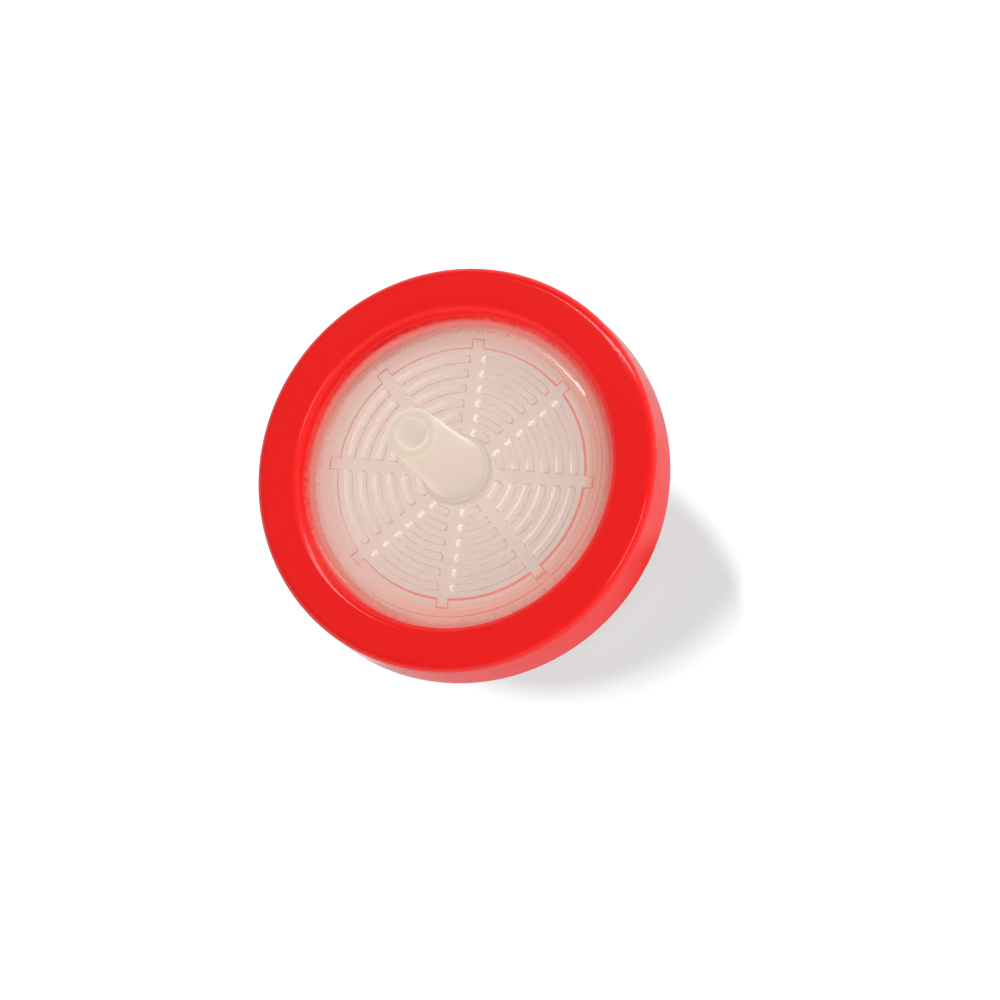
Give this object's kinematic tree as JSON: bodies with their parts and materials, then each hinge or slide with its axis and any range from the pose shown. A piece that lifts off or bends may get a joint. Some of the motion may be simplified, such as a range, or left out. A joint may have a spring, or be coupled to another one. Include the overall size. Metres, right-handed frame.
{
  "type": "syringe filter",
  "caption": "Disc syringe filter: red ring moulded over translucent ribbed shells that hold a membrane, with a male Luer slip outlet and a female Luer lock inlet.",
  "frame": {"origin": "centre of the inlet hub's end face, on which the filter stands", "axes": "+Z along the flow axis towards the outlet tip, +X through one Luer lock ear and along one flow channel"},
  "size_m": [0.0334, 0.0334, 0.0259],
  "materials": {
    "red_polypropylene": "smooth glossy moulding",
    "translucent_polypropylene": "clear, slightly milky moulding",
    "white_membrane": "matt microporous sheet"
  },
  "bodies": {
    "root": {"overmould_ring": "red_polypropylene", "outlet_shell": "translucent_polypropylene", "membrane_disc": "white_membrane", "inlet_shell": "translucent_polypropylene"}
  },
  "joints": []
}
